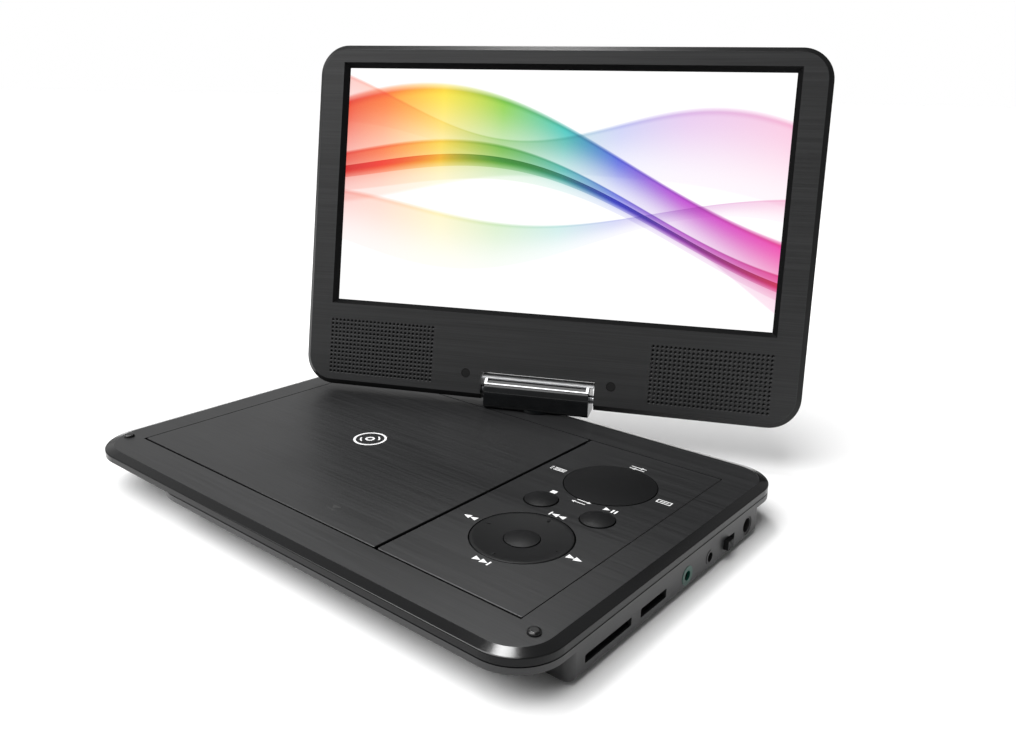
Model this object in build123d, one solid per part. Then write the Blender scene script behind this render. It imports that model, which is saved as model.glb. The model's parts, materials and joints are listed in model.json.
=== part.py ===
from build123d import *
from math import cos, radians, sin
import os

# A clamshell disc player: a flat base with a disc bay and a key panel, and a screen lid on a swivelling
# hinge. Millimetres. X runs to the right along the base, Y to the back, Z up. The origin is under the
# middle of the base, on the plane of its feet.

# ---- driving dimensions: base casing ----
base_width = 238.6
base_depth = 166.0
base_corner_radius = 17.0
base_left_radius = 22.0
deck_top = 18.0
deck_thickness = 2.0
deck_lip = 3.7
edge_slope_width = 3.9
edge_slope_drop = 1.1
wall = 1.8
seam_width, seam_depth = 0.45, 0.5
hull_bottom = 1.6
hull_left = -113.0
hull_right = base_width / 2 - 0.1
hull_half_depth = 62.8
hull_corner_radius = 3.0
flange_left = -73.0
flange_left_radius = 22.0
flange_lip = 2.7
flange_drop = 1.5
flange_inset = 16.0
flange_thickness = 1.3
tail_plate_bottom = 13.1
hinge_housing_radius = 9.2
hinge_housing_bottom = 8.0

# ---- driving dimensions: disc bay, door and key panel ----
bay_left, bay_right = -103.3, 103.3
bay_front, bay_back = -65.3, 61.8
door_right = 40.6
door_gap = 0.3
door_front_gap = 1.0
door_thickness = 1.8
door_rim_depth = 0.8
door_rim_width = 3.0
divider_left, divider_right = 40.9, 41.8
divider_top = 16.3
panel_left = 41.95
panel_thickness = 1.4
panel_floor_bottom = 15.0
disc_x, disc_y = -31.0, -1.7
well_radius = 62.2
well_floor_top = 12.0
well_floor_bottom = 11.2
tray_top, tray_bottom = 15.2, 14.0
disc_seat = 13.9

# ---- driving dimensions: keys ----
key_column_x = 73.0
ring_pad_y, dome_pad_y = -26.8, 28.0
pad_radius = 18.0
small_key_offset = 12.5
small_key_y = 0.4
small_key_radius = 6.3
ok_key_radius = 6.2
key_gap = 0.4
key_flange_top = 14.9
key_flange_bottom = 14.1
key_flange_width = 1.3
pad_edge_rise, pad_dish_depth, pad_dome_rise = 0.15, 1.1, 1.2
ok_key_drop, ok_key_dome_rise = 0.55, 0.5
small_key_edge_rise, small_key_dome_rise = 0.4, 0.8
tick_ring_radius = 15.4

# ---- driving dimensions: sockets in the right wall ----
socket_z = 6.6
card_slot_y, card_slot_width, card_slot_height = -42.7, 25.2, 2.9
short_slot_y, short_slot_width, short_slot_height = -16.6, 16.0, 3.3
headphone_y, av_y, switch_y, dc_y = 5.5, 22.0, 35.4, 52.3
jack_bore_radius = 1.8
headphone_ring_radius = 3.5
av_ring_radius = 2.7
dc_bore_radius = 2.85
switch_travel = 3.5

# ---- driving dimensions: hinge and lid ----
hinge_y = 77.0
hinge_height = 7.5
swivel_angle = 24.7
tilt_angle = 12.2
barrel_radius = 7.3
barrel_half_width = 25.2
barrel_foot_radius = 2.5
trim_thickness = 0.7
trim_low_rail = (38.0, 41.8)
trim_top_rail = (63.0, 100.0)
trim_top_half_width = 26.9
trim_end_width = 1.2
collar_radius = 8.4
shaft_radius = 4.5
hinge_pin_radius = 2.0
lid_width = 237.0
lid_low, lid_high = -4.3, 160.0
lid_corner_radius = 14.0
lid_face, lid_split, lid_back = -5.9, -0.9, 7.0
lid_edge_slope = 2.5
lid_wall = 1.6
notch_half_width = 27.3
notch_top = 8.7
screen_width, screen_height = 206.8, 111.4
screen_low = 38.0
screen_depth = 3.0
screen_bevel = 2.1
grille_centre_x, grille_centre_z = 78.5, 15.0
grille_width, grille_height = 54.0, 27.4
plug_x, plug_z, plug_radius = 34.8, 7.5, 2.2
bracket_inner, bracket_ear_radius = 29.2, 2.9

hinge_z = deck_top + hinge_height
swivel_place = Pos(0, hinge_y, 0) * Rot(0, 0, swivel_angle) * Pos(0, -hinge_y, 0)
lid_place = Pos(0, hinge_y, hinge_z) * Rot(0, 0, swivel_angle) * Rot(-tilt_angle, 0, 0)

parts = {}


def block(x0, x1, y0, y1, z0, z1):
    """A box between two corners."""
    return Pos((x0 + x1) / 2, (y0 + y1) / 2, (z0 + z1) / 2) * Box(x1 - x0, y1 - y0, z1 - z0)


def rod(x, y, z0, z1, radius):
    """An upright cylinder."""
    return Pos(x, y, (z0 + z1) / 2) * Cylinder(radius, z1 - z0)


def rod_x(x0, x1, y, z, radius):
    """A cylinder along X."""
    return Pos((x0 + x1) / 2, y, z) * Rot(0, 90, 0) * Cylinder(radius, x1 - x0)


def rod_y(x, y0, y1, z, radius):
    """A cylinder along Y."""
    return Pos(x, (y0 + y1) / 2, z) * Rot(90, 0, 0) * Cylinder(radius, y1 - y0)


def rounded(width, depth, radius, z, x=0.0, y=0.0):
    """A flat rectangle with round corners, at height z."""
    return Pos(x, y, z) * RectangleRounded(width, depth, radius)


def slab(width, depth, radius, z0, z1, x=0.0, y=0.0):
    """A plate with round corners."""
    return extrude(rounded(width, depth, radius, z0, x, y), z1 - z0)


def tapered(lower, upper):
    """A straight-sided solid between two flat outlines."""
    return loft([lower.faces()[0], upper.faces()[0]], ruled=True)


# ================= base casing =================


def casing_outline(left, left_radius, inset, z):
    """The casing seen from above, drawn in by inset, with its larger corners on the left."""
    left = left + inset
    right = base_width / 2 - inset
    body = Pos((left + right) / 2, 0, z) * Rectangle(right - left, base_depth - 2 * inset)
    body = fillet(body.vertices().group_by(Axis.X)[0], max(left_radius - inset, 2.0))
    return fillet(body.vertices().group_by(Axis.X)[-1], max(base_corner_radius - inset, 2.0))


def deck_outline(inset, z):
    return casing_outline(-base_width / 2, base_left_radius, inset, z)


def flange_outline(inset, z):
    return casing_outline(flange_left, flange_left_radius, inset, z)


def deck_slab(inset, z0, z1):
    """A plate with the deck's outline."""
    return extrude(deck_outline(inset, z0), z1 - z0)


def make_top_deck():
    slope_start = deck_top - edge_slope_drop
    shell = deck_slab(0, deck_top - deck_lip, slope_start)
    shell = shell + tapered(deck_outline(0, slope_start), deck_outline(edge_slope_width, deck_top))
    rim = shell.edges().filter_by_position(Axis.Z, slope_start - 0.01, slope_start + 0.01)
    shell = fillet(rim, 0.5)
    hollow = deck_slab(wall, deck_top - deck_lip, deck_top - edge_slope_drop - deck_thickness * 0.45)
    roof = deck_slab(edge_slope_width, deck_top - deck_thickness, deck_top - 0.5)
    shell = shell - hollow + roof
    floor = block(
        divider_left,
        bay_right + 1.5,
        bay_front - 1.5,
        bay_back + 1.5,
        panel_floor_bottom,
        deck_top - deck_thickness,
    )
    shell = shell + floor
    shell = shell - block(bay_left, divider_left, bay_front, bay_back, 0, 30)
    shell = shell - block(divider_left, bay_right, bay_front, bay_back, deck_top - panel_thickness, 30)
    shell = shell + block(divider_left, divider_right, bay_front, bay_back, panel_floor_bottom, divider_top)
    # lugs that carry the door's hinge pins
    shell = shell + block(bay_left - 5, bay_left, 57.5, bay_back + 1, deck_top - deck_lip, 16.5)
    shell = shell + block(divider_left, divider_right, 58.3, bay_back, panel_floor_bottom, 17.6)
    shell = shell - rod_x(bay_left - 1.6, bay_left + 1, door_axis_y, door_axis_z, 0.65)
    shell = shell - rod_x(divider_left - 1, divider_left + 0.75, door_axis_y, door_axis_z, 0.65)
    # keyholes
    for x, y, radius in key_places:
        shell = shell - rod(x, y, 0, 30, radius + key_gap + 0.1)
    # seat for the swivel collar's shaft
    turret_base = rod(0, hinge_y, deck_top - deck_lip, deck_top, hinge_housing_radius)
    turret_base = turret_base & block(-20, 20, base_depth / 2 - wall, base_depth, 0, 30)
    turret_space = rod(0, hinge_y, 0, deck_top - deck_thickness, hinge_housing_radius - wall)
    shell = shell + turret_base - turret_space - rod(0, hinge_y, 0, 30, shaft_radius + 0.08)
    # rubber bumper seats
    for x in (-bumper_x, bumper_x):
        shell = shell - rod(x, bumper_y, deck_top - 1.0, 30, bumper_radius)
    # screw bosses under the rim
    for x, y in casing_screws:
        boss = rod(x, y, boss_bottom(x, y), deck_top - deck_thickness + 0.2, 2.6)
        shell = shell + boss - rod(x, y, boss_bottom(x, y) - 1, deck_top - 1.6, casing_screw_radius)
    return shell


def make_bottom_shell():
    lip_top = deck_top - deck_lip
    lip_low = lip_top - flange_lip
    low = lip_low - flange_drop
    outer = extrude(flange_outline(0, lip_low), flange_lip)
    outer = outer + tapered(flange_outline(flange_inset, low), flange_outline(0, lip_low))
    middle_x = (hull_left + hull_right) / 2
    hull_width = hull_right - hull_left
    hull = slab(hull_width, 2 * hull_half_depth, hull_corner_radius, hull_bottom, lip_top, middle_x)
    hull = fillet(hull.faces().sort_by(Axis.Z)[0].edges(), 1.4)
    housing = hinge_housing(hinge_housing_radius, hinge_housing_bottom, lip_top)
    tail = deck_slab(wall + 0.2, tail_plate_bottom, lip_top - 0.05)
    tail = tail & block(-base_width, flange_left + 25, -base_depth, base_depth, 0, 30)
    outer = outer + hull + housing + tail
    # a shadow line under the deck's lip
    seam = deck_slab(-2, lip_top - seam_width, lip_top + 1)
    seam_inside = deck_slab(seam_depth, 0, deck_top)
    outer = outer - (seam - (seam_inside + hinge_housing(hinge_housing_radius, 0, deck_top)))
    inner = tapered(
        flange_outline(flange_inset + wall, low + flange_thickness),
        flange_outline(wall, lip_low + flange_thickness * 0.6),
    )
    inner = inner + extrude(flange_outline(wall, lip_low + flange_thickness * 0.6), flange_lip)
    inner = inner + slab(
        hull_width - 2 * wall,
        2 * (hull_half_depth - wall),
        hull_corner_radius - wall,
        hull_bottom + wall,
        lip_top,
        middle_x,
    )
    inner = inner + hinge_housing(hinge_housing_radius - wall, hinge_housing_bottom + wall, lip_top)
    shell = outer - inner
    # the disc well's plate rests on the walls
    shell = shell - block(bay_left - 2, divider_left, bay_front - 2, bay_back + 2, tray_bottom - 0.1, 30)
    shell = shell - rod(disc_x, disc_y, well_floor_bottom - 0.1, 30, well_radius + 0.9)
    # sockets in the right wall
    x0, x1 = hull_right - wall - 1, hull_right + 1
    shell = shell - wall_slot(x0, x1, card_slot_y, card_slot_width, card_slot_height, 0.5)
    shell = shell - wall_slot(x0, x1, short_slot_y, short_slot_width, short_slot_height, 0.5)
    shell = shell - rod_x(x0, x1, headphone_y, socket_z, headphone_ring_radius)
    shell = shell - rod_x(x0, x1, av_y, socket_z, av_ring_radius)
    shell = shell - rod_x(x0, x1, dc_y, socket_z + 0.5, dc_bore_radius + 0.9)
    shell = shell - wall_slot(x0, x1, switch_y + switch_travel / 2, switch_window_width, 4.2, 0.6)
    for x, y in casing_screws:
        seat = boss_bottom(x, y)
        pad_bottom = hull_bottom if in_hull(x, y) else seat - 2.0
        shell = shell - rod(x, y, seat, 30, 2.8) + rod(x, y, pad_bottom, seat, 3.6)
        shell = shell - rod(x, y, 0, seat + 1, casing_screw_radius + 0.2)
        shell = shell - rod(x, y, 0, seat - 0.8, casing_screw_head)
    for x, y in chassis_mounts:
        shell = shell - rod(x, y, hull_bottom + 0.6, hull_bottom + wall + 1, 1.3)
    for x in (-foot_x, foot_x):
        for y in (-foot_y, foot_y):
            shell = shell - rod(x, y, 0, hull_bottom + 0.6, foot_radius)
    return shell


def hinge_housing(radius, z0, z1):
    """The round-backed pocket behind the hull that holds the swivel's nut."""
    pocket = rod(0, hinge_y, z0, z1, radius)
    return pocket + block(-radius, radius, hull_half_depth - 6, hinge_y, z0, z1)


def wall_slot(x0, x1, y, width, height, radius):
    """A cutter for a slot with eased corners through the right wall."""
    slot = block(x0, x1, y - width / 2, y + width / 2, socket_z - height / 2, socket_z + height / 2)
    return fillet(slot.edges().filter_by(Axis.X), radius)


door_axis_y = 60.3
door_axis_z = 16.6
bumper_x, bumper_y, bumper_radius, bumper_height = 110.2, -68.0, 2.2, 1.1
foot_x, foot_y, foot_radius = 98.0, 50.0, 6.0
casing_screw_radius, casing_screw_head = 1.1, 2.1
casing_screws = [(-107.4, -48), (-107.4, 48)]
casing_screws += [(x, y) for x in (-46, 40, 106) for y in (-74, 74)]
chassis_mounts = [(x, y) for x in (-88, 20) for y in (disc_y - 38, disc_y + 38)]
switch_window_width = 4.4 + switch_travel + 0.6
key_places = [
    (key_column_x, ring_pad_y, pad_radius),
    (key_column_x, dome_pad_y, pad_radius),
    (key_column_x - small_key_offset, small_key_y, small_key_radius),
    (key_column_x + small_key_offset, small_key_y, small_key_radius),
]


def in_hull(x, y):
    """Whether a point in plan is over the deep part of the lower shell."""
    return hull_left < x < hull_right and abs(y) < hull_half_depth


def boss_bottom(x, y):
    """Height at which a deck boss meets the lower shell."""
    return 8.0 if in_hull(x, y) else deck_top - deck_lip - 1.0


parts["base_top_deck"] = make_top_deck()
parts["base_bottom_shell"] = make_bottom_shell()


def make_casing_screws():
    screws = []
    for x, y in casing_screws:
        seat = boss_bottom(x, y)
        screw = rod(x, y, seat - 0.8, seat + 1.6, casing_screw_radius)
        head = rod(x, y, seat - 1.9, seat - 0.8, casing_screw_head - 0.1)
        slot = block(x - 1.3, x + 1.3, y - 0.25, y + 0.25, seat - 2.0, seat - 1.4)
        cross = block(x - 0.25, x + 0.25, y - 1.3, y + 1.3, seat - 2.0, seat - 1.4)
        screws.append(screw + head - slot - cross)
    return screws


def make_feet():
    feet = []
    for x in (-foot_x, foot_x):
        for y in (-foot_y, foot_y):
            foot = rod(x, y, 0, hull_bottom + 0.6, foot_radius)
            feet.append(fillet(foot.edges().sort_by(Axis.Z)[0], 0.6))
    return feet


def make_bumpers():
    bumpers = []
    for x in (-bumper_x, bumper_x):
        stem = rod(x, bumper_y, deck_top - 1.0, deck_top + bumper_height, bumper_radius)
        bumpers.append(fillet(stem.edges().sort_by(Axis.Z)[-1], 0.9))
    return bumpers


parts["casing_screws"] = make_casing_screws()
parts["rubber_feet"] = make_feet()
parts["deck_bumpers"] = make_bumpers()


# ================= disc bay =================


def make_door():
    left, front, back = bay_left + door_gap, bay_front + door_front_gap, bay_back - door_gap
    plate = block(left, door_right, front, back, deck_top - door_thickness, deck_top)
    plate = fillet(plate.edges().filter_by(Axis.Z), 0.8)
    plate = chamfer(plate.faces().sort_by(Axis.Z)[-1].edges(), 0.2)
    rim_bottom = deck_top - door_thickness - door_rim_depth
    rim = block(left + 0.3, door_right - 0.3, front + 0.3, back - 0.3, rim_bottom, deck_top - 1)
    rim_inside = block(
        left + door_rim_width,
        door_right - door_rim_width,
        front + door_rim_width,
        back - door_rim_width,
        rim_bottom - 1,
        deck_top - door_thickness,
    )
    door = plate + (rim - rim_inside)
    # catch tongue under the front edge
    tongue = block(latch_x - 2.5, latch_x + 2.5, latch_y - 0.8, latch_y + 0.8, 11.0, deck_top - 1)
    tongue = fillet(tongue.edges().filter_by(Axis.X).group_by(Axis.Z)[0], 0.7)
    door = door + tongue
    door = door - rod_x(left - 1, left + 6, door_axis_y, door_axis_z, 0.6)
    return door - rod_x(door_right - 6, door_right + 1, door_axis_y, door_axis_z, 0.6)


def make_door_pins():
    left = rod_x(bay_left - 1.3, bay_left + door_gap + 6, door_axis_y, door_axis_z, 0.6)
    right = rod_x(door_right - 6, divider_left + 0.6, door_axis_y, door_axis_z, 0.6)
    return [left, right]


latch_x, latch_y = 8.3, -58.0


def make_touch_latch():
    """A clip with two springy cheeks, one on each side of the door's tongue."""
    clip = block(latch_x - 4, latch_x + 4, latch_y - 2.4, latch_y + 2.4, 6.0, 13.6)
    clip = clip - block(latch_x - 5, latch_x + 5, latch_y - 1.1, latch_y + 1.1, 9.0, 20)
    clip = clip + block(latch_x - 6, latch_x + 6, latch_y - 2.4, latch_y + 2.4, hull_bottom + wall, 6.0)
    return fillet(clip.edges().filter_by(Axis.X).group_by(Axis.Z)[-1], 0.5)


def make_well_tray():
    plate = block(bay_left - 1.2, divider_left - 0.3, bay_front - 1.0, bay_back + 1.0, tray_bottom, tray_top)
    plate = plate - rod(disc_x, disc_y, 0, 30, well_radius)
    well = rod(disc_x, disc_y, well_floor_bottom, tray_top, well_radius + 0.8)
    well = well - rod(disc_x, disc_y, well_floor_top, 30, well_radius)
    tray = plate + well
    lip = tray.edges().filter_by(GeomType.CIRCLE).filter_by_position(Axis.Z, tray_top - 0.01, tray_top + 0.01)
    tray = chamfer(lip, 0.5)
    tray = tray - rod(disc_x, disc_y, 0, 30, 15.5)
    tray = tray - block(disc_x - 61, disc_x, disc_y - 14, disc_y + 14, 0, 30)
    tray = tray - block(latch_x - 4.6, latch_x + 4.6, latch_y - 3, latch_y + 3, 0, 30)
    # finger scoops for lifting the disc
    scoop = Pos(disc_x + 44, disc_y + 44, tray_top + 3.0) * Sphere(7.5)
    tray = tray - (scoop & block(-120, 60, -80, 80, well_floor_top, 30))
    # the deck's hinge lug passes beside the plate
    return tray - block(bay_left - 6, bay_left + 0.3, 57.0, bay_back + 2, 0, 30)


parts["disc_door"] = make_door()
parts["door_hinge_pins"] = make_door_pins()
parts["touch_latch"] = make_touch_latch()
parts["disc_well_tray"] = make_well_tray()

# ---- disc drive under the well ----
chassis_bottom, chassis_top = 5.2, 6.2
rod_z = 9.2
rod_offset = 20.0
lead_screw_y = disc_y + 27.0
sled_home = -45.2
sled_length = 20.0
rail_left, rail_right = -102.0, -40.0


def make_chassis():
    plate = slab(130, 90, 4, chassis_bottom, chassis_top, (-102 + 28) / 2, disc_y)
    plate = plate - block(-97, -45, disc_y - 15, disc_y + 15, 0, 30)
    for x, y in chassis_mounts:
        plate = plate - rod(x, y, 0, 30, 3.0)
    # upright tabs that hold the guide rods and the lead screw
    for x in (rail_left, rail_right - 1.2):
        for y in (disc_y - rod_offset, disc_y + rod_offset, lead_screw_y):
            plate = plate + block(x, x + 1.2, y - 2.6, y + 2.6, chassis_top, 10.95)
    for y in (disc_y - rod_offset, disc_y + rod_offset):
        plate = plate - rod_x(rail_left - 1, rail_right + 1, y, rod_z, 1.25)
    return plate - rod_x(rail_left - 1, rail_right + 1, lead_screw_y, rod_z, 1.25)


def make_dampers():
    dampers = []
    for x, y in chassis_mounts:
        body = rod(x, y, hull_bottom + wall, chassis_bottom, 4.6)
        body += rod(x, y, chassis_bottom, chassis_top, 3.0)
        body = body + rod(x, y, chassis_top, 7.4, 4.6)
        dampers.append(body - rod(x, y, 0, 30, 1.3))
    return dampers


def make_chassis_screws():
    screws = []
    for x, y in chassis_mounts:
        screw = rod(x, y, hull_bottom + 0.6, 7.4, 1.3) + rod(x, y, 7.4, 8.8, 3.0)
        screws.append(screw - rod(x, y, 8.2, 9.0, 1.2))
    return screws


def make_spindle_motor():
    can = rod(disc_x, disc_y, chassis_top, 10.8, 12.0)
    can = chamfer(can.edges().sort_by(Axis.Z)[-1], 0.5)
    base = block(disc_x - 12, disc_x + 20, disc_y - 14, disc_y + 14, chassis_top, 7.2)
    return can + base - rod(disc_x, disc_y, 9.0, 12, 1.55)


def make_spindle_hub():
    table = rod(disc_x, disc_y, 11.2, disc_seat, 14.0)
    table = fillet(table.edges().sort_by(Axis.Z)[0], 0.6)
    nose = rod(disc_x, disc_y, disc_seat - 0.1, 15.5, 7.3)
    nose = fillet(nose.edges().sort_by(Axis.Z)[-1], 0.8)
    hub = table + nose - rod(disc_x, disc_y, 14.9, 16, 3.5)
    hub = hub + rod(disc_x, disc_y, 9.4, 11.3, 1.5)
    for place in PolarLocations(6.9, 3):
        hub = hub - Pos(disc_x, disc_y, 14.6) * place * Box(2.2, 2.0, 1.0)
    return hub


def make_hub_claws():
    claws = []
    for place in PolarLocations(6.7, 3):
        claw = Pos(disc_x, disc_y, 14.6) * place * Box(1.8, 1.8, 0.8)
        claws.append(claw)
    return claws


def make_hub_pad():
    """Anti-slip ring that the disc rests on."""
    return rod(disc_x, disc_y, disc_seat, disc_seat + 0.2, 13.6) - rod(disc_x, disc_y, 0, 30, 9.0)


def make_sled():
    x0, x1 = sled_home - sled_length, sled_home
    body = block(x0, x1, disc_y - 12.5, disc_y + 12.5, 7.2, 11.0)
    body = fillet(body.edges().filter_by(Axis.Z), 1.5)
    for y in (disc_y - rod_offset, disc_y + rod_offset):
        side = 1 if y > disc_y else -1
        inner = disc_y + side * 12.0
        body = body + block(x0 + 2, x1 - 2, min(inner, y + side * 2.6), max(inner, y + side * 2.6), 7.4, 11.0)
        body = body - rod_x(x0, x1, y, rod_z, 1.3)
    nut = block(x0 + 6, x1 - 6, disc_y + rod_offset + 2, lead_screw_y + 2.4, 7.6, 10.8)
    body = body + nut - rod_x(x0, x1, lead_screw_y, rod_z, 1.3)
    lens_x = (x0 + x1) / 2
    return body - block(lens_x - 7.5, lens_x + 7.5, disc_y - 6.5, disc_y + 6.5, 9.0, 12)


def make_lens_actuator():
    x = sled_home - sled_length / 2
    frame = block(x - 7.2, x + 7.2, disc_y - 6.2, disc_y + 6.2, 9.0, 11.0)
    frame = frame - block(x - 6.2, x - 4.2, disc_y - 4, disc_y + 4, 9.6, 12)
    frame = frame - block(x + 4.2, x + 6.2, disc_y - 4, disc_y + 4, 9.6, 12)
    tower = rod(x, disc_y, 10.8, 11.8, 3.2)
    return frame + tower - rod(x, disc_y, 10.0, 12, 2.1)


def make_lens():
    x = sled_home - sled_length / 2
    lens = rod(x, disc_y, 10.0, 11.9, 2.1)
    return fillet(lens.edges().sort_by(Axis.Z)[-1], 0.7)


def make_guide_rods():
    ends = (rail_left - 0.5, rail_right + 0.5)
    return [rod_x(*ends, disc_y + side * rod_offset, rod_z, 1.25) for side in (-1, 1)]


def make_lead_screw():
    screw = rod_x(rail_left + 0.2, rail_right + 3.0, lead_screw_y, rod_z, 1.2)
    groove = rod_x(0, 0.5, lead_screw_y, rod_z, 2.0) - rod_x(-1, 2, lead_screw_y, rod_z, 1.0)
    x = rail_left + 5
    while x < rail_right - 4:
        screw = screw - Pos(x, 0, 0) * groove
        x += screw_pitch
    return screw


screw_pitch = 3.0


def make_sled_motor():
    x0 = rail_right + 0.1
    can = block(x0 + 0.5, x0 + 12, lead_screw_y - 5, lead_screw_y + 5, 6.6, 11.0)
    can = fillet(can.edges().filter_by(Axis.X), 1.6)
    foot = block(x0 + 0.5, x0 + 12, lead_screw_y - 5, lead_screw_y + 5, chassis_top, 7.4)
    return can + foot - rod_x(x0, x0 + 3.2, lead_screw_y, rod_z, 1.25)


parts["drive_chassis"] = make_chassis()
parts["chassis_dampers"] = make_dampers()
parts["chassis_screws"] = make_chassis_screws()
parts["spindle_motor"] = make_spindle_motor()
parts["spindle_hub"] = make_spindle_hub()
parts["hub_claws"] = make_hub_claws()
parts["hub_pad"] = make_hub_pad()
parts["pickup_sled"] = make_sled()
parts["lens_actuator"] = make_lens_actuator()
parts["pickup_lens"] = make_lens()
parts["guide_rods"] = make_guide_rods()
parts["lead_screw"] = make_lead_screw()
parts["sled_motor"] = make_sled_motor()

# ================= key panel and keys =================


def make_control_panel():
    panel = block(
        panel_left,
        bay_right - door_gap,
        bay_front + door_front_gap,
        bay_back - door_gap,
        deck_top - panel_thickness,
        deck_top,
    )
    panel = fillet(panel.edges().filter_by(Axis.Z), 0.5)
    panel = chamfer(panel.faces().sort_by(Axis.Z)[-1].edges(), 0.15)
    for x, y, radius in key_places:
        panel = panel - rod(x, y, 0, 30, radius + key_gap)
    return panel


def key_body(x, y, radius, top):
    """A key cap with the flange that keeps it under the deck."""
    cap = rod(x, y, key_flange_bottom, top, radius)
    flange = rod(x, y, key_flange_bottom, key_flange_top, radius + key_flange_width)
    return cap + flange


def dome_cap(x, y, radius, rise, edge):
    """A spherical cap over a circle of that radius, above height edge."""
    ball = (radius**2 + rise**2) / (2 * rise)
    sphere = Pos(x, y, edge + rise - ball) * Sphere(ball)
    return sphere & rod(x, y, edge - 1.2, edge + rise + 1, radius)


def make_ring_pad():
    x, y = key_column_x, ring_pad_y
    pad_top = deck_top + pad_edge_rise
    pad = key_body(x, y, pad_radius, pad_top)
    pad = fillet(pad.edges().filter_by_position(Axis.Z, pad_top - 0.01, pad_top + 0.01), 0.4)
    dish_radius = pad_radius - 1.2
    ball = (dish_radius**2 + pad_dish_depth**2) / (2 * pad_dish_depth)
    pad = pad - Pos(x, y, pad_top - pad_dish_depth + ball) * Sphere(ball)
    pad = pad - rod(x, y, 0, 30, ok_key_radius + 0.3) - rod(x, y, 0, 15.6, ok_key_radius + 1.7)
    # tactile ticks for the four directions
    for place in PolarLocations(tick_ring_radius, 4):
        tick = Pos(x, y, deck_top - 0.25) * place * Box(2.0, 0.7, 0.7)
        pad = pad + (tick & rod(x, y, 0, 30, pad_radius - 0.6))
    return pad


def make_ok_key():
    x, y = key_column_x, ring_pad_y
    edge = deck_top - ok_key_drop
    stem = rod(x, y, key_flange_bottom, edge, ok_key_radius)
    stem = stem + rod(x, y, key_flange_bottom, key_flange_top - 0.1, ok_key_radius + key_flange_width)
    return stem + dome_cap(x, y, ok_key_radius, ok_key_dome_rise, edge)


def make_dome_pad():
    x, y = key_column_x, dome_pad_y
    edge = deck_top + pad_edge_rise
    return key_body(x, y, pad_radius, edge) + dome_cap(x, y, pad_radius, pad_dome_rise, edge)


def make_small_key(side):
    x = key_column_x + side * small_key_offset
    edge = deck_top + small_key_edge_rise
    cap = key_body(x, small_key_y, small_key_radius, edge)
    return cap + dome_cap(x, small_key_y, small_key_radius, small_key_dome_rise, edge)


def make_key_membrane():
    sheet = slab(56, 104, 3, 12.6, 13.0, key_column_x, 0)
    for x, y, radius in key_places:
        sheet = sheet + rod(x, y, 12.9, 13.4, radius - 2.5)
    return sheet


parts["control_panel"] = make_control_panel()
parts["ring_pad"] = make_ring_pad()
parts["ok_key"] = make_ok_key()
parts["dome_pad"] = make_dome_pad()
parts["stop_key"] = make_small_key(-1)
parts["play_key"] = make_small_key(1)
parts["key_membrane"] = make_key_membrane()
parts["key_board"] = slab(58, 108, 2, 11.4, 12.6, key_column_x, 0)

# ================= electronics =================
board_bottom, board_top = 9.4, 10.8
socket_top = board_bottom


def make_main_board():
    board = slab(71, 112, 2, board_bottom, board_top, 80.5, 0)
    chips = [(66, -20, 14, 14), (66, 12, 12, 9), (92, 30, 9, 9), (88, -34, 7, 10)]
    for x, y, w, d in chips:
        board = board + Pos(x, y, board_top + 0.25) * Box(w, d, 0.5)
    return board


def jack_body(y, ring_radius):
    """A round audio socket: its box hangs under the board and its nose fills the wall's hole."""
    body = block(105, hull_right - wall, y - 3.4, y + 3.4, hull_bottom + wall + 0.1, socket_top)
    nose = rod_x(hull_right - wall - 0.5, hull_right - 0.9, y, socket_z, ring_radius - 0.6)
    return body + nose - rod_x(107, hull_right + 1, y, socket_z, jack_bore_radius)


def jack_ring(y, radius):
    """The coloured ring around a socket's mouth."""
    ring = rod_x(hull_right - 0.9, hull_right + 0.15, y, socket_z, radius)
    ring = ring - rod_x(110, 130, y, socket_z, jack_bore_radius)
    return ring


def make_jack(y, ring_radius):
    body = jack_body(y, ring_radius)
    sleeve = rod_x(hull_right - wall, hull_right - 0.9, y, socket_z, ring_radius)
    return body + (sleeve - rod_x(107, hull_right + 1, y, socket_z, jack_bore_radius))


def make_dc_jack():
    y, z = dc_y, socket_z + 0.5
    body = block(106, hull_right - wall, y - 4.2, y + 4.2, hull_bottom + wall + 0.1, socket_top)
    body = body + rod_x(hull_right - wall, hull_right - 0.2, y, z, dc_bore_radius + 0.9)
    # the body's lower half is wider than the bore, and stays above the hull floor
    body = body - rod_x(108, hull_right + 1, y, z, min(dc_bore_radius, z - hull_bottom - wall - 0.3))
    return body


def make_slot_socket(y, width, height, depth):
    """A card or plug socket: a metal sleeve behind its slot, with an insulating tongue."""
    x0, x1 = hull_right - wall - depth, hull_right - wall
    body = block(x0, x1, y - width / 2 - 1, y + width / 2 + 1, socket_z - height / 2 - 0.5, socket_top)
    space = block(
        x0 + 1.5, x1 + 1, y - width / 2 + 0.1, y + width / 2 - 0.1, socket_z - height / 2 + 0.1,
        socket_z + height / 2 - 0.1,
    )
    tongue = block(x0, x1 - 3, y - width / 2 + 2, y + width / 2 - 2, socket_z + 0.5, socket_z + 1.0)
    return body - space + tongue


def make_switch_body():
    y = switch_y + switch_travel / 2
    body = block(110, hull_right - wall, y - 6, y + 6, hull_bottom + wall + 0.1, socket_top)
    track = block(
        114,
        hull_right,
        y - switch_window_width / 2,
        y + switch_window_width / 2,
        socket_z - 1.1,
        socket_z + 1.1,
    )
    return body - track


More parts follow.
